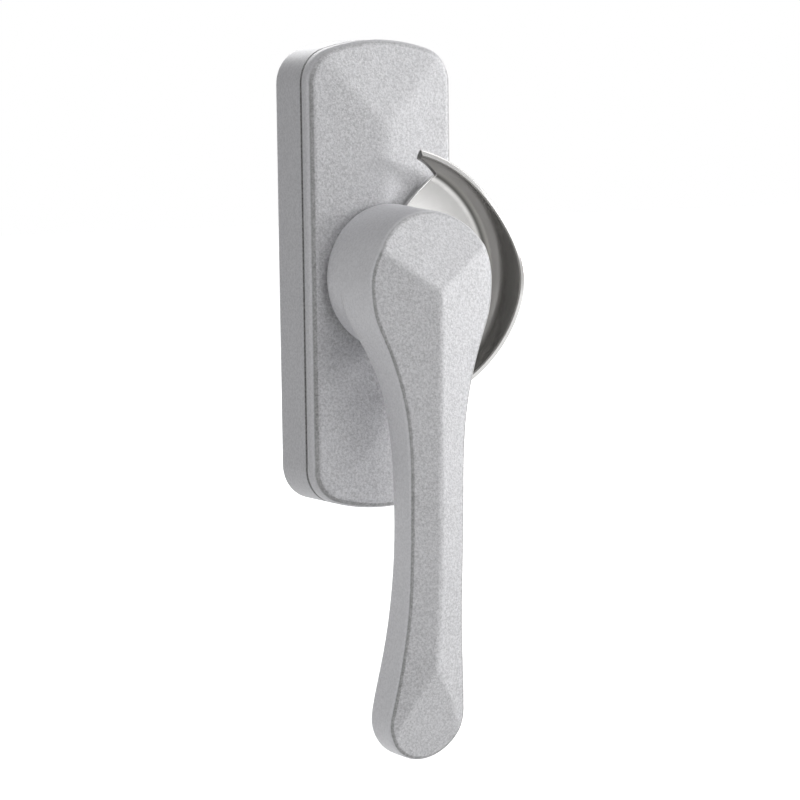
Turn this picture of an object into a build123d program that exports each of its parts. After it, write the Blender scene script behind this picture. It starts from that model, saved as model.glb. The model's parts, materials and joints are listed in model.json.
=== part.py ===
from build123d import *
import os
from math import cos, pi, radians, sin, sqrt

os.makedirs("parts", exist_ok=True)

# A crescent lock for a sliding patio door, drawn locked: lever down, crescent to the right.
# Origin: on the back mounting face, on the axis that the handle turns about.
# +X is right and +Z is up as seen from the room. The room is on the -Y side.
# Every depth is measured from the back mounting face towards the room, along -Y.

# Case and cover, seen from the room
case_width = 28.4
case_height = 80.0
end_arc_radius = 33.3
corner_radius = 6.2

# Case and cover, from the mounting face towards the room
case_wall = 2.2
case_floor = 2.2
case_rim_depth = 8.5
groove_width = 0.4
groove_reach = 0.9
eave_depth = 11.3
ridge_depth = 12.9
ridge_half = 25.2
cover_wall = 1.6
eave_radius = 1.5
roof_ridge_radius = 12.0
back_edge_radius = 0.5

# Clearances
fit_gap = 0.02
square_gap = 0.05
running_gap = 0.06
axial_gap = 0.05
cover_gap = 0.3
overrun = 5.0

# Mounting to the door stile
mount_pitch = 53.0
mount_thread_radius = 2.1
mount_thread_depth = 7.0
mount_boss_radius = 5.5

# Cover screws, driven from the back
cover_screw_inset = 5.8
cover_screw_radius = 1.5
cover_screw_length = 7.6
cover_head_radius = 2.75
cover_head_height = 1.6
cover_head_sink = 0.3

# Spindle
end_shank_depth = 2.55
rear_journal_radius = 3.5
body_square = 7.0
front_journal_radius = 6.0
drive_square = 8.4
drive_length = 4.8
spindle_bore_radius = 2.1

# Bushes, washers and stop
bush_wall = 1.4
bush_flange = 0.7
rear_flange_radius = 6.5
front_flange_radius = 10.0
slip_washer_height = 0.3
web_thickness = 1.6
pivot_boss_radius = 10.5
end_washer_radius = 6.3
end_washer_height = 0.8
stop_disc_radius = 8.0
stop_wing_radius = 11.4
stop_disc_height = 1.2
stop_pin_radius = 2.0
stop_sleeve_wall = 0.5
stop_gap = 0.1

# Detent
cam_side = 14.0
cam_corner_radius = 3.0
cam_height = 3.0
spring_strip = 0.5
spring_width = 2.6
spring_half = 19.0
spring_leg = 3.2
spring_rise = 0.2
spring_bend_radius = 0.9
dished_height = 0.85
dished_strip = 0.4
dished_outer_radius = 8.6

# Retaining screw
main_screw_radius = 2.0
main_screw_reach = 7.0
main_head_radius = 3.6
main_head_height = 1.3

# Crescent, pressed from sheet
sheet = 1.0
plate_radius = 11.0
fold_start_radius = 17.9
fold_radius = 3.5
flare_angle = 17.0
rim_height = 5.9
crest_shares = (
    (-1.30, 0.52),
    (-0.90, 0.74),
    (-0.50, 0.92),
    (-0.15, 1.00),
    (0.12, 0.93),
    (0.38, 0.73),
    (0.60, 0.55),
    (0.83, 0.41),
    (1.10, 0.31),
    (1.40, 0.26),
)
beak_inner_shares = (0.296, 1.101)
beak_tip_shares = (0.274, 1.201)
notch_corner_shares = (0.503, 0.950)
notch_foot_shares = (0.145, 0.631)
heel_foot_shares = (0.246, -0.592)
heel_angle = -62.0
notch_sag = 0.3
beak_sag = -0.25
lip_radius = 0.2

# Crescent screws
crescent_screw_place = 8.35
crescent_screw_radius = 1.25
crescent_screw_length = 6.0
crescent_head_radius = 2.2
crescent_head_height = 0.95
countersink_angle = 45.0

# Lever, seen from the room
hub_radius = 12.3
hub_face_radius = 11.9
hub_lean = 0.8
lever_reach = 74.6
tip_radius = 7.5
tip_lean_angle = 8.0
waist_pull = 0.1
waist_shares = (
    (0.985, 0.045),
    (0.835, 0.125),
    (0.650, 0.205),
    (0.483, 0.335),
    (0.450, 0.500),
    (0.452, 0.700),
    (0.538, 0.888),
)

# Lever, from the side
apex_depth = 29.8
blank_margin = 0.6
apex_height = -2.0
tip_apex_height = -71.0
facet_slope = 0.233
hub_facet_slope = 0.31
tip_facet_slope = 0.30
ridge_drop = 4.4
ridge_shares = (
    (-0.25, 0.0),
    (0.027, 0.0),
    (0.27, 0.09),
    (0.49, 0.17),
    (0.62, 0.25),
    (0.753, 0.41),
    (0.847, 0.58),
    (0.927, 0.75),
    (0.981, 0.91),
    (1.15, 1.4),
)
arm_thickness = 8.0
arm_back_drop = 5.1
arm_back_shares = (
    (0.0, 1.04),
    (0.128, 0.65),
    (0.2, 0.31),
    (0.296, 0.16),
    (0.39, 0.06),
    (0.5, 0.0),
    (0.6, 0.04),
    (0.726, 0.27),
    (0.806, 0.45),
    (0.887, 0.67),
    (0.96, 0.88),
    (1.02, 0.97),
    (1.12, 1.0),
)
lever_ridge_radius = 2.2
lever_edge_radius = 0.9
arm_back_edge_radius = 1.0
facing_share = 0.8


# Shared outlines

def front_plane(depth):
    """The plane at this depth, facing the room, with +X right and +Z up."""
    return Plane.XZ.offset(depth)


def case_outline(inset):
    """A tall plate outline with shallow arcs as ends and rounded corners, drawn smaller by the inset."""
    half_width = case_width / 2 - inset
    half_height = case_height / 2 - inset
    arc_radius = end_arc_radius - inset
    shoulder = half_height - arc_radius + sqrt(arc_radius**2 - half_width**2)
    with BuildLine() as edge:
        ThreePointArc((-half_width, shoulder), (0, half_height), (half_width, shoulder))
        Line((half_width, shoulder), (half_width, -shoulder))
        ThreePointArc((half_width, -shoulder), (0, -half_height), (-half_width, -shoulder))
        Line((-half_width, -shoulder), (-half_width, shoulder))
    make_face(edge.edges())


def hip_roof(inset, rear, drop):
    """A block with the case outline whose front is a hip roof, lowered by the drop."""
    eave = -(eave_depth - drop)
    ridge = -(ridge_depth - drop)
    half_width = case_width / 2
    half_height = case_height / 2
    gable_fall = overrun * (eave - ridge) / half_width
    hip_fall = overrun * (eave - ridge) / (half_height - ridge_half)
    with BuildPart() as roof:
        with BuildSketch(front_plane(rear)) as outline:
            case_outline(inset)
            fillet(outline.vertices(), radius=corner_radius - inset)
        extrude(amount=ridge_depth - drop - rear)
        with BuildSketch(Plane.XY):
            with BuildLine():
                Polyline(
                    (-half_width - overrun, 0),
                    (-half_width - overrun, eave + gable_fall),
                    (0, ridge),
                    (half_width + overrun, eave + gable_fall),
                    (half_width + overrun, 0),
                    close=True,
                )
            make_face()
        extrude(amount=case_height, both=True, mode=Mode.INTERSECT)
        with BuildSketch(Plane.YZ):
            with BuildLine():
                Polyline(
                    (0, -half_height - overrun),
                    (eave + hip_fall, -half_height - overrun),
                    (ridge, -ridge_half),
                    (ridge, ridge_half),
                    (eave + hip_fall, half_height + overrun),
                    (0, half_height + overrun),
                    close=True,
                )
            make_face()
        extrude(amount=case_width, both=True, mode=Mode.INTERSECT)
    return roof.part


def front_facets(part):
    """The faces of a part that look mostly towards the room."""
    return part.faces().filter_by(lambda face: face.normal_at().Y < -facing_share)


def outer_edges(faces):
    """The edges round the outside of a patch of faces."""
    edges = [edge for face in faces for edge in face.edges()]
    return ShapeList(edge for edge in edges if sum(edge.is_same(other) for other in edges) < 2)


def inner_edges(faces):
    """The edges where two faces of a patch meet, each listed once."""
    edges = [edge for face in faces for edge in face.edges()]
    met = [any(edge.is_same(other) for other in edges[:place]) for place, edge in enumerate(edges)]
    return ShapeList(edge for edge, repeated in zip(edges, met) if repeated)


# Depths that follow from the stack along the spindle

cover_seat_depth = case_rim_depth + groove_width
web_rear_depth = end_shank_depth + axial_gap
web_front_depth = web_rear_depth + web_thickness
stop_disc_depth = web_front_depth + bush_flange + axial_gap
cam_depth = stop_disc_depth + stop_disc_height
journal_depth = cam_depth + cam_height
cover_bore_depth = journal_depth + dished_height + axial_gap
crescent_depth = ridge_depth + cover_gap
plate_front_depth = crescent_depth + sheet
slip_washer_depth = crescent_depth - slip_washer_height
front_seat_depth = slip_washer_depth - axial_gap - bush_flange
drive_end_depth = crescent_depth + drive_length
spring_depth = cam_depth + spring_rise
stop_pin_place = stop_disc_radius + stop_gap + stop_pin_radius + stop_sleeve_wall
end_washer_depth = end_shank_depth - end_washer_height
main_head_depth = end_washer_depth - main_head_height
main_screw_end = drive_end_depth + main_screw_reach
arm_back_depth = apex_depth - arm_thickness
blank_depth = apex_depth + blank_margin
mount_height = mount_pitch / 2
cover_screw_height = case_height / 2 - cover_screw_inset
cavity_half = case_width / 2 - case_wall
spring_face = cam_side / 2 + axial_gap
mount_places = [(0, mount_height), (0, -mount_height)]
cover_screw_places = [(0, cover_screw_height), (0, -cover_screw_height)]
crescent_screw_places = [(crescent_screw_place, 0), (-crescent_screw_place, 0)]


# Base case: a die-cast tray with bosses, a stop pin seat and spring ribs

boss_top = case_rim_depth - groove_width
cover_boss_radius = cover_head_radius + case_wall / 4
stop_boss_radius = stop_pin_radius + stop_sleeve_wall + case_wall / 2
rib_inner = spring_face + spring_strip + axial_gap
rib_length = cavity_half - rib_inner
rib_outer_end = spring_half - spring_strip - axial_gap
rib_breadth = case_wall
rib_middle = rib_inner + rib_length / 2
rib_height = rib_outer_end - rib_breadth / 2
cover_head_seat = cover_head_sink + cover_head_height
cover_counterbore = cover_head_radius + running_gap
pin_seat_depth = case_floor / 2

with BuildPart() as base_case:
    with BuildSketch(front_plane(0)) as outline:
        case_outline(0)
        fillet(outline.vertices(), radius=corner_radius)
    extrude(amount=case_rim_depth)
    fillet(base_case.faces().sort_by(Axis.Y)[-1].edges(), radius=back_edge_radius)
    with BuildSketch(front_plane(case_rim_depth)) as tongue:
        case_outline(groove_reach)
        fillet(tongue.vertices(), radius=corner_radius - groove_reach)
    extrude(amount=groove_width)
    with BuildSketch(front_plane(case_floor)) as cavity:
        case_outline(case_wall)
        fillet(cavity.vertices(), radius=corner_radius - case_wall)
    extrude(amount=overrun + cover_seat_depth, mode=Mode.SUBTRACT)
    with BuildSketch(front_plane(0)):
        Circle(pivot_boss_radius)
        with Locations((0, stop_pin_place)):
            Circle(stop_boss_radius)
    extrude(amount=web_front_depth)
    with BuildSketch(front_plane(0)):
        with Locations(*mount_places):
            Circle(mount_boss_radius)
    extrude(amount=boss_top)
    with BuildSketch(front_plane(0)):
        with Locations(*cover_screw_places):
            Circle(cover_boss_radius)
    extrude(amount=cover_seat_depth)
    with BuildSketch(front_plane(case_floor)):
        for side in (-1, 1):
            for end in (-1, 1):
                with Locations((side * rib_middle, end * rib_height)):
                    Rectangle(rib_length, rib_breadth)
    extrude(amount=cover_seat_depth - case_floor)
    with BuildSketch(front_plane(0)):
        Circle(end_washer_radius + 2 * fit_gap + running_gap)
    extrude(amount=web_rear_depth, mode=Mode.SUBTRACT)
    with BuildSketch(front_plane(0)):
        Circle(rear_journal_radius + running_gap + bush_wall + fit_gap)
    extrude(amount=web_front_depth + overrun, mode=Mode.SUBTRACT)
    with BuildSketch(front_plane(0)):
        with Locations(*mount_places):
            Circle(mount_thread_radius)
    extrude(amount=mount_thread_depth, mode=Mode.SUBTRACT)
    with BuildSketch(front_plane(0)):
        with Locations(*cover_screw_places):
            Circle(cover_screw_radius + running_gap)
    extrude(amount=cover_seat_depth + overrun, mode=Mode.SUBTRACT)
    with BuildSketch(front_plane(0)):
        with Locations(*cover_screw_places):
            Circle(cover_counterbore)
    extrude(amount=cover_head_seat, mode=Mode.SUBTRACT)
    with BuildSketch(front_plane(pin_seat_depth)):
        with Locations((0, stop_pin_place)):
            Circle(stop_pin_radius + fit_gap)
    extrude(amount=web_front_depth, mode=Mode.SUBTRACT)
base_case.part.label = "base_case"
export_step(base_case.part, "parts/base_case.step")


# Front cover: a thin cap with a hip-roof front and a round seat for the bush

cover_outer = hip_roof(0, cover_seat_depth, 0)
cover_core = hip_roof(case_wall, 0, cover_wall)
hip_slope = (ridge_depth - eave_depth) / (case_height / 2 - ridge_half)
cover_boss_top = ridge_depth - hip_slope * (cover_screw_height - ridge_half) - cover_wall / 2
cover_screw_end = cover_head_seat + cover_screw_length

with BuildPart() as front_cover:
    add(cover_outer)
    fillet(inner_edges(front_facets(front_cover)), radius=roof_ridge_radius)
    fillet(outer_edges(front_facets(front_cover)), radius=eave_radius)
    add(cover_core, mode=Mode.SUBTRACT)
    with BuildSketch(front_plane(cover_bore_depth)):
        Circle(pivot_boss_radius)
    extrude(amount=front_seat_depth - cover_bore_depth)
    with BuildSketch(front_plane(front_seat_depth)):
        Circle(pivot_boss_radius)
    extrude(amount=overrun, mode=Mode.SUBTRACT)
    with BuildSketch(front_plane(cover_seat_depth)):
        with Locations(*cover_screw_places):
            Circle(cover_boss_radius)
    extrude(amount=cover_boss_top - cover_seat_depth)
    with BuildSketch(front_plane(0)):
        Circle(front_journal_radius + running_gap + bush_wall + fit_gap)
    extrude(amount=front_seat_depth + overrun, mode=Mode.SUBTRACT)
    with BuildSketch(front_plane(0)):
        with Locations(*cover_screw_places):
            Circle(cover_screw_radius + fit_gap)
    extrude(amount=cover_screw_end + axial_gap, mode=Mode.SUBTRACT)
front_cover.part.label = "front_cover"
export_step(front_cover.part, "parts/front_cover.step")


# Cover screws: two pan-head screws, driven from the back

recess_arm = cover_head_radius
recess_blade = cover_head_radius / 4
with BuildPart() as cover_screws:
    with BuildSketch(front_plane(cover_head_sink)):
        with Locations(*cover_screw_places):
            Circle(cover_head_radius)
    extrude(amount=cover_head_height)
    fillet(cover_screws.faces().sort_by(Axis.Y)[-2:].edges(), radius=cover_head_height / 3)
    with BuildSketch(front_plane(cover_head_sink)):
        with Locations(*cover_screw_places):
            Circle(cover_screw_radius)
    extrude(amount=cover_head_height + cover_screw_length - axial_gap)
    with BuildSketch(front_plane(0)):
        with Locations(*cover_screw_places):
            Rectangle(recess_arm, recess_blade)
            Rectangle(recess_blade, recess_arm)
    extrude(amount=cover_head_sink + cover_head_height * 2 / 3, mode=Mode.SUBTRACT)
cover_screws.part.label = "cover_screws"
export_step(cover_screws.part, "parts/cover_screws.step")


# Bushes: flanged plain bearings in the case web and in the cover

with BuildPart() as rear_bush:
    with BuildSketch(front_plane(web_rear_depth)):
        Circle(rear_journal_radius + running_gap + bush_wall)
    extrude(amount=web_thickness)
    with BuildSketch(front_plane(web_front_depth)):
        Circle(rear_flange_radius)
    extrude(amount=bush_flange)
    with BuildSketch(front_plane(0)):
        Circle(rear_journal_radius + running_gap)
    extrude(amount=web_front_depth + overrun, mode=Mode.SUBTRACT)
rear_bush.part.label = "rear_bush"
export_step(rear_bush.part, "parts/rear_bush.step")

with BuildPart() as front_bush:
    with BuildSketch(front_plane(cover_bore_depth)):
        Circle(front_journal_radius + running_gap + bush_wall)
    extrude(amount=front_seat_depth - cover_bore_depth)
    with BuildSketch(front_plane(front_seat_depth)):
        Circle(front_flange_radius)
    extrude(amount=bush_flange)
    with BuildSketch(front_plane(0)):
        Circle(front_journal_radius + running_gap)
    extrude(amount=front_seat_depth + overrun, mode=Mode.SUBTRACT)
front_bush.part.label = "front_bush"
export_step(front_bush.part, "parts/front_bush.step")


# Stop pin: pressed into the case, with a quiet sleeve round its free end

stop_pin_end = stop_disc_depth + stop_disc_height + spring_rise
with BuildPart() as stop_pin:
    with BuildSketch(front_plane(pin_seat_depth)):
        with Locations((0, stop_pin_place)):
            Circle(stop_pin_radius)
    extrude(amount=stop_pin_end - pin_seat_depth)
    chamfer(stop_pin.faces().sort_by(Axis.Y)[0].edges(), length=stop_sleeve_wall / 2)
stop_pin.part.label = "stop_pin"
export_step(stop_pin.part, "parts/stop_pin.step")

with BuildPart() as stop_sleeve:
    with BuildSketch(front_plane(web_front_depth)):
        with Locations((0, stop_pin_place)):
            Circle(stop_pin_radius + stop_sleeve_wall)
            Circle(stop_pin_radius + fit_gap, mode=Mode.SUBTRACT)
    extrude(amount=stop_pin_end - stop_sleeve_wall - web_front_depth)
stop_sleeve.part.label = "stop_sleeve"
export_step(stop_sleeve.part, "parts/stop_sleeve.step")


# Detent springs: flat strips with out-turned legs that hook round the case ribs

def leaf_spring(side):
    """A strip that lies along the cam's flat on this side of the spindle."""
    face = side * spring_face
    back = side * (spring_face + spring_strip)
    leg_end = side * (spring_face + spring_leg)
    with BuildPart() as spring:
        with BuildSketch(front_plane(spring_depth)) as strip:
            with BuildLine():
                Polyline(
                    (face, -spring_half),
                    (leg_end, -spring_half),
                    (leg_end, -spring_half + spring_strip),
                    (back, -spring_half + spring_strip),
                    (back, spring_half - spring_strip),
                    (leg_end, spring_half - spring_strip),
                    (leg_end, spring_half),
                    (face, spring_half),
                    close=True,
                )
            make_face()
            bends = strip.vertices().filter_by(lambda corner: abs(corner.X - face) < axial_gap)
            fillet(bends, radius=spring_bend_radius)
        extrude(amount=spring_width)
    return spring.part


left_spring = leaf_spring(-1)
left_spring.label = "left_spring"
export_step(left_spring, "parts/left_spring.step")

right_spring = leaf_spring(1)
right_spring.label = "right_spring"
export_step(right_spring, "parts/right_spring.step")


# Spindle: squares that drive the crescent, stop disc and cam, and two journals

with BuildPart() as spindle:
    with BuildSketch(front_plane(end_shank_depth)):
        Circle(rear_journal_radius)
    extrude(amount=stop_disc_depth - end_shank_depth)
    with BuildSketch(front_plane(stop_disc_depth)):
        Rectangle(body_square, body_square)
        Circle(body_square / sqrt(3), mode=Mode.INTERSECT)
    extrude(amount=journal_depth - stop_disc_depth)
    with BuildSketch(front_plane(journal_depth)):
        Circle(front_journal_radius)
    extrude(amount=crescent_depth - journal_depth)
    with BuildSketch(front_plane(crescent_depth)):
        Rectangle(drive_square, drive_square)
        Circle(drive_square / sqrt(3), mode=Mode.INTERSECT)
    extrude(amount=drive_length)
    with BuildSketch(front_plane(0)):
        Circle(spindle_bore_radius)
    extrude(amount=drive_end_depth + overrun, mode=Mode.SUBTRACT)
spindle.part.label = "spindle"
export_step(spindle.part, "parts/spindle.step")


# Stop disc: its wing meets the pin at both ends of the half turn

with BuildPart() as stop_disc:
    wing_edge = stop_pin_radius + stop_sleeve_wall + stop_gap
    with BuildSketch(front_plane(stop_disc_depth)):
        Circle(stop_wing_radius)
        with Locations((wing_edge + stop_wing_radius, 0)):
            Rectangle(2 * stop_wing_radius, 2 * stop_wing_radius, mode=Mode.INTERSECT)
        Circle(stop_disc_radius)
        Rectangle(body_square + 2 * square_gap, body_square + 2 * square_gap, mode=Mode.SUBTRACT)
    extrude(amount=stop_disc_height)
stop_disc.part.label = "stop_disc"
export_step(stop_disc.part, "parts/stop_disc.step")


# Detent cam: a square block with rounded corners

with BuildPart() as detent_cam:
    with BuildSketch(front_plane(cam_depth)):
        RectangleRounded(cam_side, cam_side, cam_corner_radius)
        Rectangle(body_square + 2 * square_gap, body_square + 2 * square_gap, mode=Mode.SUBTRACT)
    extrude(amount=cam_height)
detent_cam.part.label = "detent_cam"
export_step(detent_cam.part, "parts/detent_cam.step")


# Dished washer: a coned spring washer round the front journal

with BuildPart() as dished_washer:
    cone_inner = front_journal_radius + running_gap
    with BuildSketch(Plane.XY):
        with BuildLine():
            Polyline(
                (cone_inner, -journal_depth),
                (cone_inner, -journal_depth - dished_strip),
                (dished_outer_radius, -journal_depth - dished_height),
                (dished_outer_radius, -journal_depth - dished_height + dished_strip),
                close=True,
            )
        make_face()
    revolve(axis=Axis.Y)
dished_washer.part.label = "dished_washer"
export_step(dished_washer.part, "parts/dished_washer.step")


# Washers and the screw that holds the lever, crescent and spindle together

with BuildPart() as slip_washer:
    with BuildSketch(front_plane(slip_washer_depth)):
        Circle(front_flange_radius)
        Circle(front_journal_radius + running_gap, mode=Mode.SUBTRACT)
    extrude(amount=slip_washer_height)
slip_washer.part.label = "slip_washer"
export_step(slip_washer.part, "parts/slip_washer.step")

with BuildPart() as end_washer:
    with BuildSketch(front_plane(end_washer_depth)):
        Circle(end_washer_radius)
        Circle(main_screw_radius + running_gap, mode=Mode.SUBTRACT)
    extrude(amount=end_washer_height)
end_washer.part.label = "end_washer"
export_step(end_washer.part, "parts/end_washer.step")

with BuildPart() as retaining_screw:
    with BuildSketch(front_plane(main_head_depth)):
        Circle(main_head_radius)
    extrude(amount=main_head_height)
    fillet(retaining_screw.faces().sort_by(Axis.Y)[-1].edges(), radius=main_head_height / 3)
    with BuildSketch(front_plane(main_head_depth)):
        Circle(main_screw_radius)
    extrude(amount=main_screw_end - main_head_depth)
    with BuildSketch(front_plane(0)):
        Rectangle(main_head_radius, main_head_radius / 4)
        Rectangle(main_head_radius / 4, main_head_radius)
    extrude(amount=main_head_depth + main_head_height * 2 / 3, mode=Mode.SUBTRACT)
retaining_screw.part.label = "retaining_screw"
export_step(retaining_screw.part, "parts/retaining_screw.step")


# Crescent: a plate with a flared rim, a beak that leads and a bite cut behind it

def plan_point(shares):
    """The point in the plan at these shares of the fold's radius."""
    return (shares[0] * fold_start_radius, shares[1] * fold_start_radius)


def bowed(start, end, sag):
    """The middle point of an arc between two points that sags to the left of the way between them."""
    run = (end[0] - start[0], end[1] - start[1])
    length = sqrt(run[0] ** 2 + run[1] ** 2)
    return (
        (start[0] + end[0]) / 2 - sag * run[1] / length,
        (start[1] + end[1]) / 2 + sag * run[0] / length,
    )


def crescent_plan():
    """The crescent as seen from the room: a hub disc joined to a sector with a beak."""
    beak_inner = plan_point(beak_inner_shares)
    beak_tip = plan_point(beak_tip_shares)
    notch_corner = plan_point(notch_corner_shares)
    notch_foot = plan_point(notch_foot_shares)
    heel_foot = plan_point(heel_foot_shares)
    reach = 2 * hub_radius
    outer_beak = (beak_tip[0], reach)
    heel = (reach * cos(radians(heel_angle)), reach * sin(radians(heel_angle)))
    with BuildLine() as edge:
        ThreePointArc(notch_foot, bowed(notch_foot, notch_corner, notch_sag), notch_corner)
        ThreePointArc(notch_corner, bowed(notch_corner, beak_inner, beak_sag), beak_inner)
        Polyline(beak_inner, beak_tip, outer_beak, (reach, reach), (reach, heel[1]))
        Polyline((reach, heel[1]), heel, heel_foot, (0, 0), notch_foot)
    make_face(edge.edges())
    Circle(plate_radius)


crest_points = []
for height_share, depth_share in crest_shares:
    crest_points.append((-plate_front_depth - depth_share * rim_height, height_share * fold_start_radius))
flare = radians(flare_angle)
rim_blank_depth = plate_front_depth + rim_height + sheet
fold_turn = pi / 2 - flare
fold_end = (
    fold_start_radius + fold_radius * sin(fold_turn),
    plate_front_depth + fold_radius * (1 - cos(fold_turn)),
)
fold_middle = (
    fold_start_radius + fold_radius * sin(fold_turn / 2),
    plate_front_depth + fold_radius * (1 - cos(fold_turn / 2)),
)
rim_run = (rim_blank_depth - fold_end[1]) / cos(flare)
rim_lip = (fold_end[0] + rim_run * sin(flare), rim_blank_depth)
back_radius = fold_radius + sheet
back_end = (
    fold_start_radius + back_radius * sin(fold_turn),
    crescent_depth + back_radius * (1 - cos(fold_turn)),
)
back_middle = (
    fold_start_radius + back_radius * sin(fold_turn / 2),
    crescent_depth + back_radius * (1 - cos(fold_turn / 2)),
)
back_lip = (rim_lip[0] + sheet * cos(flare), rim_lip[1] - sheet * sin(flare))

with BuildPart() as crescent_cam:
    with BuildSketch(Plane.XY):
        with BuildLine():
            Line((0, -crescent_depth), (fold_start_radius, -crescent_depth))
            ThreePointArc(
                (fold_start_radius, -crescent_depth),
                (back_middle[0], -back_middle[1]),
                (back_end[0], -back_end[1]),
            )
            Line((back_end[0], -back_end[1]), (back_lip[0], -back_lip[1]))
            Line((back_lip[0], -back_lip[1]), (rim_lip[0], -rim_lip[1]))
            Line((rim_lip[0], -rim_lip[1]), (fold_end[0], -fold_end[1]))
            ThreePointArc(
                (fold_end[0], -fold_end[1]),
                (fold_middle[0], -fold_middle[1]),
                (fold_start_radius, -plate_front_depth),
            )
            Line((fold_start_radius, -plate_front_depth), (0, -plate_front_depth))
            Line((0, -plate_front_depth), (0, -crescent_depth))
        make_face()
    revolve(axis=Axis.Y)
    with BuildSketch(front_plane(0)):
        crescent_plan()
    extrude(amount=rim_blank_depth + overrun, mode=Mode.INTERSECT)
    with BuildSketch(Plane.YZ):
        with BuildLine():
            Spline(*crest_points)
            Polyline(
                crest_points[0],
                (overrun, crest_points[0][1]),
                (overrun, crest_points[-1][1]),
                crest_points[-1],
            )
        make_face()
    extrude(amount=case_height, both=True, mode=Mode.INTERSECT)
    for crest_face in crescent_cam.faces().filter_by(GeomType.EXTRUSION):
        fillet(crest_face.edges(), radius=lip_radius)
    with BuildSketch(front_plane(0)):
        Rectangle(drive_square + 2 * square_gap, drive_square + 2 * square_gap)
        with Locations(*crescent_screw_places):
            Circle(crescent_screw_radius + running_gap)
    extrude(amount=plate_front_depth + fold_radius / 2, mode=Mode.SUBTRACT)
    with BuildSketch(front_plane(crescent_depth)):
        with Locations(*crescent_screw_places):
            Circle(crescent_head_radius + fit_gap)
    extrude(amount=crescent_head_height, taper=countersink_angle, mode=Mode.SUBTRACT)
crescent_cam.part.label = "crescent_cam"
export_step(crescent_cam.part, "parts/crescent_cam.step")


# Crescent screws: two countersunk screws from behind, into the hub

with BuildPart() as crescent_screws:
    with BuildSketch(front_plane(crescent_depth)):
        with Locations(*crescent_screw_places):
            Circle(crescent_head_radius)
    extrude(amount=crescent_head_height, taper=countersink_angle)
    with BuildSketch(front_plane(crescent_depth)):
        with Locations(*crescent_screw_places):
            Circle(crescent_screw_radius)
    extrude(amount=crescent_screw_length)
crescent_screws.part.label = "crescent_screws"
export_step(crescent_screws.part, "parts/crescent_screws.step")


# Lever front: two long facets that meet in a bowed ridge

ridge_points = []
for height_share, drop_share in ridge_shares:
    ridge_points.append((-apex_depth + drop_share * ridge_drop, -height_share * lever_reach))

with BuildPart() as lever_front:
    for side in (-1, 1):
        with BuildSketch(Plane.YZ):
            with BuildLine():
                Spline(*ridge_points)
                Polyline(
                    ridge_points[-1],
                    (apex_depth, ridge_points[-1][1]),
                    (apex_depth, ridge_points[0][1]),
                    ridge_points[0],
                )
            make_face()
        extrude(amount=2 * hub_radius, dir=(side, facet_slope, 0))


# Handle lever: a round hub, a waisted arm and a rounded end, faceted in front

lever_top = 2 * hub_radius
lever_bottom = -lever_reach - 2 * tip_radius
hub_facet_top = -apex_depth + (lever_top - apex_height) * hub_facet_slope
hub_facet_bottom = -apex_depth + (lever_bottom - apex_height) * hub_facet_slope
tip_facet_top = -apex_depth + ridge_drop - (lever_top - tip_apex_height) * tip_facet_slope
tip_facet_bottom = -apex_depth + ridge_drop - (lever_bottom - tip_apex_height) * tip_facet_slope
tip_lean = radians(tip_lean_angle)
tip_start = (tip_radius * cos(tip_lean), -lever_reach + tip_radius * sin(tip_lean))
right_tangents = [(0, -1), (sin(tip_lean), -cos(tip_lean))]
left_tangents = [(0, -1), (-sin(tip_lean), -cos(tip_lean))]
end_pulls = [waist_pull, waist_pull]
back_points = []
for height_share, drop_share in arm_back_shares:
    back_points.append((-arm_back_depth + drop_share * arm_back_drop, -height_share * lever_reach))


def lever_outline(radius, lean):
    """The lever as seen from the room: a round hub, a waist and a round end."""
    right = [(radius, -lean)]
    for width_share, height_share in waist_shares:
        right.append((width_share * radius, -height_share * lever_reach))
    right.append(tip_start)
    left = [(-x, z) for x, z in right]
    with BuildLine() as edge:
        ThreePointArc(right[0], (0, radius - lean), left[0])
        Spline(*left, tangents=left_tangents, tangent_scalars=end_pulls)
        ThreePointArc(left[-1], (0, -lever_reach - tip_radius), right[-1])
        Spline(*right, tangents=right_tangents, tangent_scalars=end_pulls)
    make_face(edge.edges())


with BuildPart() as arm_back:
    with BuildSketch(Plane.YZ):
        with BuildLine():
            Polyline(
                back_points[0],
                (overrun, back_points[0][1]),
                (overrun, back_points[-1][1]),
                back_points[-1],
            )
            Spline(*back_points)
        make_face()
    extrude(amount=2 * hub_radius, both=True)
    with BuildSketch(front_plane(crescent_depth)):
        Circle(hub_radius)
    with BuildSketch(front_plane(blank_depth)):
        with Locations((0, -hub_lean)):
            Circle(hub_face_radius)
    loft(ruled=True, mode=Mode.SUBTRACT)

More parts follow.
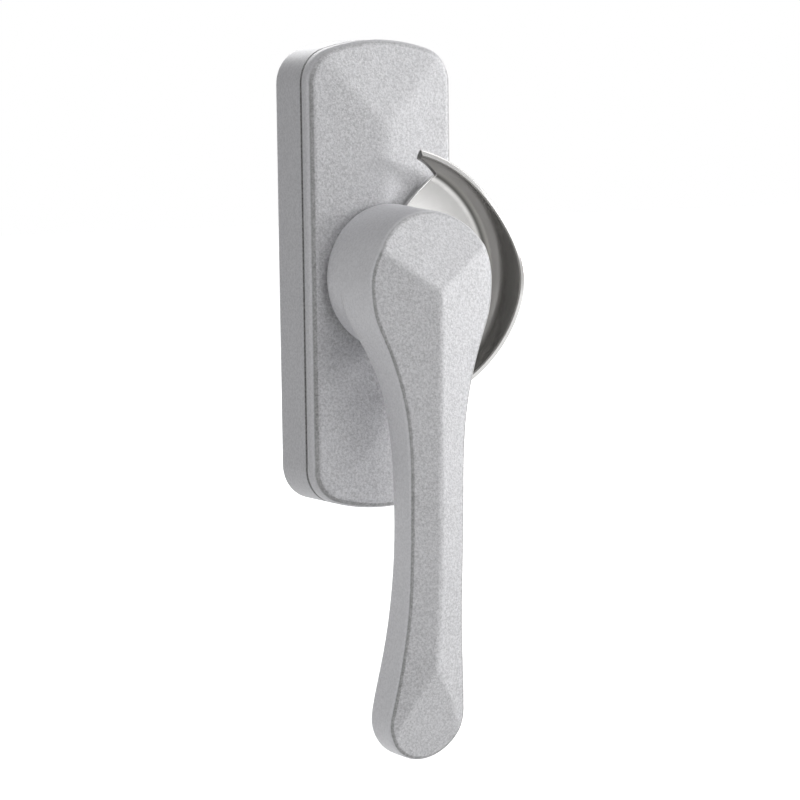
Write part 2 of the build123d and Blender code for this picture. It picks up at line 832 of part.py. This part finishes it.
with BuildPart() as handle_lever:
    with BuildSketch(front_plane(crescent_depth)):
        lever_outline(hub_radius, 0)
    with BuildSketch(front_plane(blank_depth)):
        lever_outline(hub_face_radius, hub_lean)
    loft(ruled=True)
    add(arm_back.part, mode=Mode.SUBTRACT)
    add(lever_front.part, mode=Mode.INTERSECT)
    with BuildSketch(Plane.YZ):
        with BuildLine():
            Polyline(
                (hub_facet_top, lever_top),
                (hub_facet_bottom, lever_bottom),
                (overrun, lever_bottom),
                (overrun, lever_top),
                close=True,
            )
        make_face()
    extrude(amount=2 * hub_radius, both=True, mode=Mode.INTERSECT)
    with BuildSketch(Plane.YZ):
        with BuildLine():
            Polyline(
                (tip_facet_top, lever_top),
                (tip_facet_bottom, lever_bottom),
                (overrun, lever_bottom),
                (overrun, lever_top),
                close=True,
            )
        make_face()
    extrude(amount=2 * hub_radius, both=True, mode=Mode.INTERSECT)
    fillet(inner_edges(front_facets(handle_lever)), radius=lever_ridge_radius)
    fillet(outer_edges(front_facets(handle_lever)), radius=lever_edge_radius)
    arm_faces = handle_lever.faces().filter_by(GeomType.EXTRUSION)
    arm_faces = arm_faces.filter_by(lambda face: face.normal_at().Y > 0)
    arm_edges = outer_edges(arm_faces).filter_by(lambda edge: edge.center().Z < -hub_radius)
    fillet(arm_edges, radius=arm_back_edge_radius)
    with BuildSketch(front_plane(0)):
        crescent_plan()
        offset(amount=running_gap)
    extrude(amount=plate_front_depth, mode=Mode.SUBTRACT)
    with BuildSketch(front_plane(plate_front_depth)):
        Rectangle(drive_square + 2 * square_gap, drive_square + 2 * square_gap)
    extrude(amount=drive_end_depth + axial_gap - plate_front_depth, mode=Mode.SUBTRACT)
    with BuildSketch(front_plane(plate_front_depth)):
        Circle(main_screw_radius + fit_gap)
    extrude(amount=main_screw_end + axial_gap - plate_front_depth, mode=Mode.SUBTRACT)
    with BuildSketch(front_plane(plate_front_depth)):
        with Locations(*crescent_screw_places):
            Circle(crescent_screw_radius + fit_gap)
    extrude(amount=crescent_depth + crescent_screw_length + axial_gap - plate_front_depth, mode=Mode.SUBTRACT)
handle_lever.part.label = "handle_lever"
export_step(handle_lever.part, "parts/handle_lever.step")
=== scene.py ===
"""Dresses, lights and films a crescent lock for a sliding patio door, drawn locked."""

from __future__ import annotations

import json
import logging
from dataclasses import dataclass, field
from enum import Enum
from math import cos, radians, sin
from typing import Union

import bpy
import numpy as np
from mathutils import Matrix, Vector

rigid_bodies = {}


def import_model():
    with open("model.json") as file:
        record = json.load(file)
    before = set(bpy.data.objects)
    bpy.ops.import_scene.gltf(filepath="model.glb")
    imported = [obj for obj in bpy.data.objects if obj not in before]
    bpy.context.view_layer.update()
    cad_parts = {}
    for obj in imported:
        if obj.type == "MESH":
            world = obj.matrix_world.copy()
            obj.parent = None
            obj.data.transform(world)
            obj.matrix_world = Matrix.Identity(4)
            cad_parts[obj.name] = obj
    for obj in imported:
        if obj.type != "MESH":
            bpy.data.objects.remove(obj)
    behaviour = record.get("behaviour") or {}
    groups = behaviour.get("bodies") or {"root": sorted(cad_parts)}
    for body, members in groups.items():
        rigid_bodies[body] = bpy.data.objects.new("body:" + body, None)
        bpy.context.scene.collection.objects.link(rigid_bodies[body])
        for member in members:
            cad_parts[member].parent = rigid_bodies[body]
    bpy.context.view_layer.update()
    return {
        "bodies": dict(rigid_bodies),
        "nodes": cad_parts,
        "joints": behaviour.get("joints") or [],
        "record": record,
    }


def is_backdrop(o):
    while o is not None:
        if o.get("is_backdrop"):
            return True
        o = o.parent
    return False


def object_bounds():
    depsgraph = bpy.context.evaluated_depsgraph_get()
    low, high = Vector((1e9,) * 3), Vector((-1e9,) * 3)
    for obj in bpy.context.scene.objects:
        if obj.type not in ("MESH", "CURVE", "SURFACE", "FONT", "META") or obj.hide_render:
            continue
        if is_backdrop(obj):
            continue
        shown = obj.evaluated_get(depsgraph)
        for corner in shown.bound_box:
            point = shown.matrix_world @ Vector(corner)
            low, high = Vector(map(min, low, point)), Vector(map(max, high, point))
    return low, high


MILLIMETRE = 0.001
Colour = tuple[float, float, float]
Triple = tuple[float, float, float]
Span = tuple[float, float]

WHITE: Colour = (1.0, 1.0, 1.0)
UNSTRETCHED: Triple = (1.0, 1.0, 1.0)
RISING: Span = (0.0, 1.0)
FALLING: Span = (1.0, 0.0)
METAL = 1.0
EDGE_SAMPLES = 8

# The colour sockets of a mix node by number, because its names repeat.
MIX_SHARE, MIX_FIRST, MIX_SECOND, MIX_RESULT = 0, 6, 7, 2

log = logging.getLogger("crescent_lock")


class Coat(Enum):
    """The record's material slots."""

    PAINT = "silver_paint"
    POLISHED = "polished_steel"
    ZINC = "zinc_steel"
    SPRING = "spring_steel"
    ACETAL = "white_acetal"
    RUBBER = "black_rubber"


class Shader:
    """One material's nodes, added and joined by short calls."""

    def __init__(self, name: str) -> None:
        """Starts a material whose surface is one principled shader.

        Args:
            name: The material's name.
        """
        self.material = bpy.data.materials.new(name)
        self.material.use_nodes = True
        self.tree = self.material.node_tree
        self.surface = self.tree.nodes["Principled BSDF"]
        self.place = self.add("ShaderNodeTexCoord")

    def add(self, kind: str, inputs: dict | None = None, **settings: object) -> bpy.types.Node:
        """Adds a node.

        Args:
            kind: Blender's name for the kind of node.
            inputs: Values, or sockets to join, by the input's name or number.
            **settings: The node's own settings.

        Returns:
            The new node.
        """
        node = self.tree.nodes.new(kind)
        for name, value in settings.items():
            setattr(node, name, value)
        for name, value in (inputs or {}).items():
            self.feed(node.inputs[name], value)
        return node

    def feed(self, socket: bpy.types.NodeSocket, value: object) -> None:
        """Joins a socket to another one, or sets its value.

        Args:
            socket: The input to feed.
            value: A number, a colour or an output socket.
        """
        if isinstance(value, bpy.types.NodeSocket):
            self.tree.links.new(value, socket)
        elif isinstance(value, tuple) and len(value) == 3 and socket.type == "RGBA":
            socket.default_value = (*value, 1.0)
        else:
            socket.default_value = value

    def finish(self, **inputs: object) -> bpy.types.Material:
        """Feeds the principled shader.

        Args:
            **inputs: Values or sockets by the input's name, with underscores for spaces.

        Returns:
            The finished material.
        """
        for name, value in inputs.items():
            self.feed(self.surface.inputs[name.replace("_", " ")], value)
        return self.material

    def math(self, operation: str, first: object, second: object) -> bpy.types.NodeSocket:
        """Returns the result of one sum on two numbers."""
        return self.add("ShaderNodeMath", {0: first, 1: second}, operation=operation).outputs[0]

    def span(self, value: object, source: Span, result: Span = RISING) -> bpy.types.NodeSocket:
        """Carries a value smoothly from one span to another.

        Args:
            value: The socket to carry.
            source: Where the value's own span starts and ends.
            result: The results at that start and end.

        Returns:
            The carried value.
        """
        spans = {"Value": value, "From Min": source[0], "From Max": source[1]}
        spans.update({"To Min": result[0], "To Max": result[1]})
        return self.add("ShaderNodeMapRange", spans, interpolation_type="SMOOTHSTEP").outputs["Result"]

    def noise(self, grain: float, detail: float, stretch: Triple = UNSTRETCHED) -> bpy.types.NodeSocket:
        """Makes a noise whose lumps have a real size.

        Args:
            grain: The size of a lump, in metres.
            detail: How many finer noises lie on the first.
            stretch: What the place is multiplied by on each axis; below 1 draws the lumps out.

        Returns:
            The noise, from 0 to 1.
        """
        mapping = self.add("ShaderNodeMapping", {"Vector": self.place.outputs["Object"], "Scale": stretch})
        sizes = {"Vector": mapping.outputs["Vector"], "Scale": 1.0 / grain, "Detail": detail}
        return self.add("ShaderNodeTexNoise", sizes).outputs["Fac"]

    def blend(self, share: object, first: object, second: object) -> bpy.types.NodeSocket:
        """Mixes two colours by a share.

        Args:
            share: How much of the second colour shows.
            first: The first colour or socket.
            second: The second colour or socket.

        Returns:
            The mixed colour.
        """
        node = self.add("ShaderNodeMix", data_type="RGBA")
        self.feed(node.inputs[MIX_SHARE], share)
        self.feed(node.inputs[MIX_FIRST], first)
        self.feed(node.inputs[MIX_SECOND], second)
        return node.outputs[MIX_RESULT]

    def soft_edge(self, radius: float) -> bpy.types.NodeSocket:
        """Returns normals that round sharp edges by a radius in metres."""
        return self.add("ShaderNodeBevel", {"Radius": radius}, samples=EDGE_SAMPLES).outputs["Normal"]

    def own_axes(self, normal: bpy.types.NodeSocket) -> bpy.types.NodeSocket:
        """Returns a world normal turned into the object's own axes."""
        turning = {"vector_type": "NORMAL", "convert_from": "WORLD", "convert_to": "OBJECT"}
        return self.add("ShaderNodeVectorTransform", {"Vector": normal}, **turning).outputs["Vector"]

    def relief(self, height: object, depth: float, normal: object, strength: float) -> bpy.types.NodeSocket:
        """Bends normals by a relief.

        Args:
            height: The relief's height from 0 to 1.
            depth: How tall the relief is, in metres.
            normal: The normals that it is laid on.
            strength: How much of the relief shows.

        Returns:
            The bent normals.
        """
        sizes = {"Strength": strength, "Distance": depth, "Height": height, "Normal": normal}
        return self.add("ShaderNodeBump", sizes).outputs["Normal"]


@dataclass(frozen=True)
class SandPaint:
    """Silver powder coat: sandy where it faces the room, smoother round the sides. It carries painted
    shade: darker towards the rear of the sides, a dark line along the front edges and a dark seam between
    case and cover.

    Spans of facing run from 0, square to the room's view, to 1, straight at the room.
    """

    front: Colour = (0.68, 0.68, 0.70)
    side: Colour = (0.90, 0.90, 0.93)
    # painted shade: the sides turn darker towards the rear, where less light reaches
    shaded_rear_side: Colour = (0.615, 0.615, 0.64)
    rear_shade_depths: Span = (-13.0 * MILLIMETRE, -8.0 * MILLIMETRE)
    sandy_facing: Span = (0.62, 0.86)
    speck: Colour = (0.31, 0.31, 0.318)
    fleck: Colour = (0.95, 0.95, 0.97)
    speck_to_fleck: Span = (0.27, 0.73)
    speckle_shares: Span = (0.24, 0.46)
    # painted shade: a dark line where the front faces turn into the sides, fainter on edges that look up
    painted_edge_shade: Colour = (0.27, 0.27, 0.27)
    edge_shade_rise: Span = (0.52, 0.72)
    edge_shade_fall: Span = (0.90, 0.945)
    upward: Span = (0.0, 0.4)
    upward_shade_fade: Span = (1.0, 0.35)
    # painted shade: a dark band in and beside the groove between case and cover
    painted_seam_shade: Colour = (0.20, 0.20, 0.20)
    seam_shade_depths: Span = (-9.12 * MILLIMETRE, -8.96 * MILLIMETRE)
    seam_shade_fronts: Span = (-8.44 * MILLIMETRE, -8.28 * MILLIMETRE)
    grain: float = 0.44 * MILLIMETRE
    grain_detail: float = 1.0
    fine_size: float = 0.55
    coarse_share: float = 0.55
    fine_share: float = 0.45
    relief_depth: float = 0.085 * MILLIMETRE
    relief_shares: Span = (0.15, 1.0)
    relief_strength: float = 0.8
    cloud: float = 9.0 * MILLIMETRE
    cloud_detail: float = 2.0
    cloud_span: Span = (0.3, 0.7)
    cloud_shares: Span = (0.0, 0.12)
    edge_radius: float = 0.6 * MILLIMETRE
    metallic: float = 0.1
    roughness: Span = (0.42, 0.55)

    def sand(self, shader: Shader) -> bpy.types.NodeSocket:
        """Makes the sand: a coarse grain with a finer one on it.

        Args:
            shader: The material that it belongs to.

        Returns:
            The sand's height, from 0 to 1.
        """
        coarse = shader.noise(self.grain, self.grain_detail)
        fine = shader.noise(self.fine_size * self.grain, self.grain_detail)
        coarse_part = shader.math("MULTIPLY", coarse, self.coarse_share)
        return shader.math("ADD", coarse_part, shader.math("MULTIPLY", fine, self.fine_share))

    def edge_shaded(self, shader: Shader, facing: object, upward: object) -> bpy.types.NodeSocket:
        """Finds where a front face turns into a side, for a painted shade line there, fainter where it
        looks up.

        Args:
            shader: The material that it belongs to.
            facing: How far the face looks at the room.
            upward: How far it looks up.

        Returns:
            How much of the painted edge shade shows.
        """
        rise = shader.span(facing, self.edge_shade_rise)
        edges = shader.math("MULTIPLY", rise, shader.span(facing, self.edge_shade_fall, FALLING))
        return shader.math("MULTIPLY", edges, shader.span(upward, self.upward, self.upward_shade_fade))

    def seam_shaded(self, shader: Shader, depth: object) -> bpy.types.NodeSocket:
        """Finds the seam between case and cover by its depth, where shade is painted.

        Args:
            shader: The material that it belongs to.
            depth: The place's depth from the mounting face, in metres.

        Returns:
            How much of the painted seam shade shows.
        """
        rear = shader.span(depth, self.seam_shade_depths)
        return shader.math("MULTIPLY", rear, shader.span(depth, self.seam_shade_fronts, FALLING))

    def material(self, name: str) -> bpy.types.Material:
        """Makes the paint.

        Args:
            name: The material's name.

        Returns:
            The material.
        """
        shader = Shader(name)
        axes = shader.add("ShaderNodeSeparateXYZ", {0: shader.place.outputs["Normal"]})
        facing = shader.math("MULTIPLY", axes.outputs["Y"], -1.0)
        depth = shader.add("ShaderNodeSeparateXYZ", {0: shader.place.outputs["Object"]}).outputs["Y"]
        sandy = shader.span(facing, self.sandy_facing)
        sand = self.sand(shader)
        grains = shader.blend(shader.span(sand, self.speck_to_fleck), self.speck, self.fleck)
        clouds = shader.noise(self.cloud, self.cloud_detail)
        # painted shade along the front edges, laid over the paint below
        edge_shade_share = self.edge_shaded(shader, facing, axes.outputs["Z"])
        # the sides' colour, with painted shade darkening their rear part
        side = shader.blend(shader.span(depth, self.rear_shade_depths), self.side, self.shaded_rear_side)
        edged = shader.blend(edge_shade_share, shader.blend(sandy, side, self.front), self.painted_edge_shade)
        # painted shade at the seam between case and cover
        base = shader.blend(self.seam_shaded(shader, depth), edged, self.painted_seam_shade)
        speckled = shader.blend(shader.span(sandy, RISING, self.speckle_shares), base, grains)
        clouded = shader.blend(shader.span(clouds, self.cloud_span, self.cloud_shares), speckled, side)
        height = shader.math("MULTIPLY", sand, shader.span(sandy, RISING, self.relief_shares))
        edge = shader.soft_edge(self.edge_radius)
        return shader.finish(
            Base_Color=clouded,
            Metallic=self.metallic,
            Roughness=shader.span(sandy, RISING, self.roughness),
            Normal=shader.relief(height, self.relief_depth, edge, self.relief_strength),
        )


@dataclass(frozen=True)
class BrightSheet:
    """Bright polished steel sheet with faint marks, with painted reflections: a tint that fades across the
    plate, a painted highlight on the rim's outer face, a painted dark reflection inside its rim and a
    painted shade line at the fold.

    Spans of inward run from -1, a face that looks away from the axis, to 1, one that looks at it.
    """

    tint: Colour = (0.74, 0.735, 0.727)
    # painted reflection: the plate's tint fades from bright near the hub to dimmer towards the fold
    dim_reflection_tint: Colour = (0.47, 0.466, 0.46)
    reflection_fade_radii: Span = (11.0 * MILLIMETRE, 18.0 * MILLIMETRE)
    # painted highlight: faces that look away from the axis, the rim's outer side, are lighter
    painted_outer_highlight: Colour = (0.88, 0.875, 0.865)
    outer_highlight_inward: Span = (-0.6, -0.2)
    # painted shade at the fold and painted dark reflection inside the rim; the darkest tone also serves the
    # random haze
    painted_fold_shade: Colour = (0.06, 0.059, 0.056)
    fold_shade_inward: Span = (0.12, 0.34)
    painted_rim_reflection: Colour = (0.225, 0.22, 0.208)
    rim_reflection_inward: Span = (0.30, 0.55)
    dark_reflection_and_haze: Colour = (0.20, 0.195, 0.182)
    dark_reflection_inward: Span = (0.78, 0.93)
    haze: float = 4.0 * MILLIMETRE
    haze_detail: float = 3.0
    haze_span: Span = (0.35, 0.7)
    haze_shares: Span = (0.0, 0.15)
    mark: float = 0.35 * MILLIMETRE
    mark_detail: float = 2.0
    mark_run: Triple = (1.0, 1.0, 0.12)
    relief_depth: float = 0.004 * MILLIMETRE
    relief_strength: float = 0.6
    edge_radius: float = 0.30 * MILLIMETRE
    gloss_span: Span = (0.3, 0.7)
    roughness: Span = (0.17, 0.27)

    def material(self, name: str) -> bpy.types.Material:
        """Makes the sheet's steel.

        Args:
            name: The material's name.

        Returns:
            The material.
        """
        shader = Shader(name)
        haze = shader.noise(self.haze, self.haze_detail)
        marks = shader.noise(self.mark, self.mark_detail, self.mark_run)
        axes = shader.add("ShaderNodeSeparateXYZ", {0: shader.place.outputs["Object"]})
        across = shader.add("ShaderNodeCombineXYZ", {"X": axes.outputs["X"], "Z": axes.outputs["Z"]})
        spoke = {0: across.outputs[0]}
        radius = shader.add("ShaderNodeVectorMath", spoke, operation="LENGTH").outputs["Value"]
        away = shader.add("ShaderNodeVectorMath", spoke, operation="NORMALIZE").outputs[0]
        edge = shader.soft_edge(self.edge_radius)
        turned = {0: away, 1: shader.own_axes(edge)}
        outward = shader.add("ShaderNodeVectorMath", turned, operation="DOT_PRODUCT").outputs["Value"]
        inward = shader.math("MULTIPLY", outward, -1.0)
        # painted reflection fading across the plate by radius
        plate_reflection_fade = shader.blend(shader.span(radius, self.reflection_fade_radii), self.tint, self.dim_reflection_tint)
        # painted shade line at the fold, then painted dark reflection up the rim's inside
        glow = shader.blend(shader.span(inward, self.rim_reflection_inward), self.painted_fold_shade, self.painted_rim_reflection)
        rim_dark_reflection = shader.blend(shader.span(inward, self.dark_reflection_inward), glow, self.dark_reflection_and_haze)
        sheet = shader.blend(shader.span(inward, self.fold_shade_inward), plate_reflection_fade, rim_dark_reflection)
        # painted highlight on the rim's outer face
        with_outer_highlight = shader.blend(shader.span(inward, self.outer_highlight_inward, FALLING), sheet, self.painted_outer_highlight)
        # random haze drifts towards the same dark tone
        tint = shader.blend(shader.span(haze, self.haze_span, self.haze_shares), with_outer_highlight, self.dark_reflection_and_haze)
        return shader.finish(
            Base_Color=tint,
            Metallic=METAL,
            Roughness=shader.span(haze, self.gloss_span, self.roughness),
            Normal=shader.relief(marks, self.relief_depth, edge, self.relief_strength),
        )


@dataclass(frozen=True)
class PlainMetal:
    """Plated or rolled steel whose tint and gloss drift slightly."""

    tint: Colour
    second: Colour
    roughness: Span
    cloud: float = 1.6 * MILLIMETRE
    cloud_detail: float = 3.0
    tint_span: Span = (0.35, 0.65)
    gloss_span: Span = (0.3, 0.7)
    scratch: float = 0.12 * MILLIMETRE
    scratch_detail: float = 2.0
    run: Triple = UNSTRETCHED
    edge_radius: float = 0.12 * MILLIMETRE
    relief_depth: float = 0.006 * MILLIMETRE
    relief_strength: float = 0.7

    def material(self, name: str) -> bpy.types.Material:
        """Makes the steel.

        Args:
            name: The material's name.

        Returns:
            The material.
        """
        shader = Shader(name)
        clouds = shader.noise(self.cloud, self.cloud_detail)
        scratches = shader.noise(self.scratch, self.scratch_detail, self.run)
        edge = shader.soft_edge(self.edge_radius)
        return shader.finish(
            Base_Color=shader.blend(shader.span(clouds, self.tint_span), self.tint, self.second),
            Metallic=METAL,
            Roughness=shader.span(clouds, self.gloss_span, self.roughness),
            Normal=shader.relief(scratches, self.relief_depth, edge, self.relief_strength),
        )


@dataclass(frozen=True)
class Moulded:
    """A moulded plastic or rubber with a fine spark-eroded skin."""

    tint: Colour
    second: Colour
    roughness: Span
    skin: float = 0.18 * MILLIMETRE
    skin_detail: float = 3.0
    gloss_span: Span = (0.3, 0.7)
    cloud_size: float = 10.0
    cloud_detail: float = 2.0
    tint_span: Span = (0.35, 0.65)
    relief_depth: float = 0.01 * MILLIMETRE
    relief_strength: float = 0.6
    edge_radius: float = 0.15 * MILLIMETRE

    def material(self, name: str) -> bpy.types.Material:
        """Makes the plastic.

        Args:
            name: The material's name.

        Returns:
            The material.
        """
        shader = Shader(name)
        skin = shader.noise(self.skin, self.skin_detail)
        clouds = shader.noise(self.cloud_size * self.skin, self.cloud_detail)
        edge = shader.soft_edge(self.edge_radius)
        return shader.finish(
            Base_Color=shader.blend(shader.span(clouds, self.tint_span), self.tint, self.second),
            Roughness=shader.span(skin, self.gloss_span, self.roughness),
            Normal=shader.relief(skin, self.relief_depth, edge, self.relief_strength),
        )


Finish = Union[SandPaint, BrightSheet, PlainMetal, Moulded]

FINISHES: dict[Coat, Finish] = {
    Coat.PAINT: SandPaint(),
    Coat.POLISHED: BrightSheet(),
    Coat.ZINC: PlainMetal((0.66, 0.67, 0.69), (0.58, 0.585, 0.57), (0.28, 0.42)),
    Coat.SPRING: PlainMetal((0.30, 0.32, 0.36), (0.38, 0.37, 0.36), (0.25, 0.38), run=(1.0, 1.0, 0.05)),
    Coat.ACETAL: Moulded((0.82, 0.82, 0.78), (0.76, 0.76, 0.71), (0.38, 0.5)),
    Coat.RUBBER: Moulded((0.035, 0.035, 0.036), (0.05, 0.05, 0.05), (0.65, 0.85)),
}


@dataclass
class Dresser:
    """Keeps one material for each coat and lays it on the lock's parts."""

    frame: dict
    made: dict[Coat, bpy.types.Material] = field(default_factory=dict)

    def coat(self, coat: Coat) -> bpy.types.Material:
        """Finds the coat's material, or makes it on first use.

        Args:
            coat: The coat that is wanted.

        Returns:
            The material.
        """
        if coat not in self.made:
            self.made[coat] = FINISHES[coat].material(coat.value)
        return self.made[coat]

    def dress(self, node: str, coat: Coat) -> None:
        """Lays a coat on one part.

        Args:
            node: The part's name.
            coat: The coat that it wears.
        """
        material = self.coat(coat)
        for slot in self.frame["nodes"][node].material_slots:
            slot.material = material
        log.info("%s wears %s", node, coat.value)


@dataclass
class Housing:
    """The case, its cover and what is fixed in them."""

    painted: tuple[str, ...] = ("base_case", "front_cover")
    plated: tuple[str, ...] = ("cover_screws", "stop_pin")
    springs: tuple[str, ...] = ("left_spring", "right_spring")
    bushes: tuple[str, ...] = ("rear_bush", "front_bush")
    sleeve: str = "stop_sleeve"

    def build(self, dresser: Dresser) -> None:
        """Dresses the fixed parts.

        Args:
            dresser: What lays the coats.
        """
        groups = (
            (self.painted, Coat.PAINT),
            (self.plated, Coat.ZINC),
            (self.springs, Coat.SPRING),
            (self.bushes, Coat.ACETAL),
            ((self.sleeve,), Coat.RUBBER),
        )
        for nodes, coat in groups:
            for node in nodes:
                dresser.dress(node, coat)


@dataclass
class Handle:
    """The lever, the crescent and the drive that turns with them."""

    lever: str = "handle_lever"
    crescent: str = "crescent_cam"
    plated: tuple[str, ...] = (
        "crescent_screws",
        "spindle",
        "stop_disc",
        "detent_cam",
        "end_washer",
        "retaining_screw",
    )
    washer: str = "dished_washer"
    slip: str = "slip_washer"

    def build(self, dresser: Dresser) -> None:
        """Dresses the moving parts.

        Args:
            dresser: What lays the coats.
        """
        dresser.dress(self.lever, Coat.PAINT)
        dresser.dress(self.crescent, Coat.POLISHED)
        dresser.dress(self.washer, Coat.SPRING)
        dresser.dress(self.slip, Coat.ACETAL)
        for node in self.plated:
            dresser.dress(node, Coat.ZINC)


@dataclass
class Lamp:
    """A square soft box that looks at the lock."""

    name: str
    azimuth: float
    elevation: float
    distance: float
    side: float
    power: float

    def build(self, target: Vector) -> None:
        """Hangs the lamp and turns it to the target.

        Args:
            target: The point that the lamp looks at.
        """
        light = bpy.data.lights.new(self.name, "AREA")
        light.shape = "SQUARE"
        light.size = self.side
        light.energy = self.power
        light.color = WHITE
        lamp = bpy.data.objects.new(self.name, light)
        turn, rise = radians(self.azimuth), radians(self.elevation)
        away = Vector((sin(turn) * cos(rise), -cos(turn) * cos(rise), sin(rise)))
        lamp.location = target + away * self.distance
        lamp.rotation_euler = away.to_track_quat("Z", "Y").to_euler()
        bpy.context.scene.collection.objects.link(lamp)


@dataclass
class Studio:
    """A white room: a pale floor, a white world and soft lamps."""

    floor_drop: float = 60.0 * MILLIMETRE
    floor_half: float = 3.0
    floor_tint: Colour = (0.86, 0.86, 0.86)
    floor_roughness: float = 0.9
    floor_glow: float = 0.75
    far_glow: float = 1.0
    glow_reach: Span = (0.18, 0.45)
    ambient: float = 0.02
    target: Triple = (0.0, -0.012, -0.015)
    lamps: tuple[Lamp, ...] = (
        Lamp("key_lamp", 71.0, 11.0, 1.6, 0.4, 16.4),
        Lamp("front_lamp", 0.0, 50.0, 1.4, 0.5, 4.7),
        Lamp("fill_lamp", 40.0, 25.0, 1.6, 0.4, 2.3),
        Lamp("left_lamp", -100.0, 8.0, 1.1, 0.6, 1.15),
        Lamp("rear_lamp", 165.0, 25.0, 1.4, 0.7, 5.0),
    )

    def floor(self) -> None:
        """Lays the floor, flat at a drop below the lock's lowest point."""
        low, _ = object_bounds()
        height = low.z - self.floor_drop
        share = np.array([(-1.0, -1.0), (1.0, -1.0), (1.0, 1.0), (-1.0, 1.0)])
        points = np.column_stack((share * self.floor_half, np.full(len(share), height)))
        mesh = bpy.data.meshes.new("floor")
        mesh.from_pydata(points.tolist(), [], [tuple(range(len(share)))])
        floor = bpy.data.objects.new("floor", mesh)
        bpy.context.scene.collection.objects.link(floor)
        shader = Shader("floor_paper")
        seen = self.seen_by(shader.tree)
        away = shader.add("ShaderNodeVectorMath", {0: shader.place.outputs["Object"]}, operation="LENGTH")
        glow = shader.span(away.outputs["Value"], self.glow_reach, (self.floor_glow, self.far_glow))
        shader.finish(
            Base_Color=self.floor_tint,
            Roughness=self.floor_roughness,
            Emission_Color=WHITE,
            Emission_Strength=shader.math("MULTIPLY", seen, glow),
        )
        mesh.materials.append(shader.material)
        floor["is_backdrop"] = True

    @staticmethod
    def seen_by(tree: bpy.types.NodeTree) -> bpy.types.NodeSocket:
        """Finds what is seen by the camera, in a gloss or through a clear part.

        Args:
            tree: The node tree that the answer is for.

        Returns:
            1 where it is seen, and 0 elsewhere.
        """
        path = tree.nodes.new("ShaderNodeLightPath")
        result = path.outputs["Is Camera Ray"]
        for other in ("Is Glossy Ray", "Is Transmission Ray"):
            larger = tree.nodes.new("ShaderNodeMath")
            larger.operation = "MAXIMUM"
            tree.links.new(result, larger.inputs[0])
            tree.links.new(path.outputs[other], larger.inputs[1])
            result = larger.outputs[0]
        return result

    def world(self) -> None:
        """Makes a world that looks white and lights the lock softly."""
        world = bpy.data.worlds.new("white_room")
        world.use_nodes = True
        tree = world.node_tree
        background = tree.nodes["Background"]
        background.inputs["Color"].default_value = (*WHITE, 1.0)
        strength = tree.nodes.new("ShaderNodeMapRange")
        tree.links.new(self.seen_by(tree), strength.inputs["Value"])
        strength.inputs["To Min"].default_value = self.ambient
        strength.inputs["To Max"].default_value = self.far_glow
        tree.links.new(strength.outputs["Result"], background.inputs["Strength"])
        bpy.context.scene.world = world

    def build(self) -> None:
        """Sets up the floor, the world, the lamps and the plain view."""
        self.floor()
        self.world()
        for lamp in self.lamps:
            lamp.build(Vector(self.target))
        bpy.context.scene.view_settings.view_transform = "Standard"
        log.info("the studio has %d lamps", len(self.lamps))


@dataclass
class PhotoCamera:
    """The camera that took the photograph, found from the lock's outline."""

    azimuth: float = -31.75
    elevation: float = 6.00
    roll: float = -0.745
    place: Triple = (-0.25684, -0.431156, 0.030339)
    lens: float = 129.96
    sensor: float = 36.0

    def build(self) -> None:
        """Places the camera and makes it the scene's own."""
        turn, rise, roll = radians(-self.azimuth), radians(self.elevation), radians(self.roll)
        ahead = Vector((sin(turn) * cos(rise), cos(turn) * cos(rise), -sin(rise)))
        level = Vector((cos(turn), -sin(turn), 0.0))
        above = level.cross(ahead)
        right = cos(roll) * level + sin(roll) * above
        up = cos(roll) * above - sin(roll) * level
        data = bpy.data.cameras.new("photo_camera")
        data.lens = self.lens
        data.sensor_width = self.sensor
        camera = bpy.data.objects.new("photo_camera", data)
        turned = Matrix((right, up, -ahead)).transposed().to_4x4()
        camera.matrix_world = Matrix.Translation(self.place) @ turned
        bpy.context.scene.collection.objects.link(camera)
        bpy.context.scene.camera = camera
        log.info("the camera stands at %s", self.place)


def main() -> None:
    """Builds every class in order."""
    logging.basicConfig(level=logging.INFO, format="%(message)s")
    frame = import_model()
    dresser = Dresser(frame)
    Housing().build(dresser)
    Handle().build(dresser)
    Studio().build()
    PhotoCamera().build()


if __name__ == "__main__":
    main()
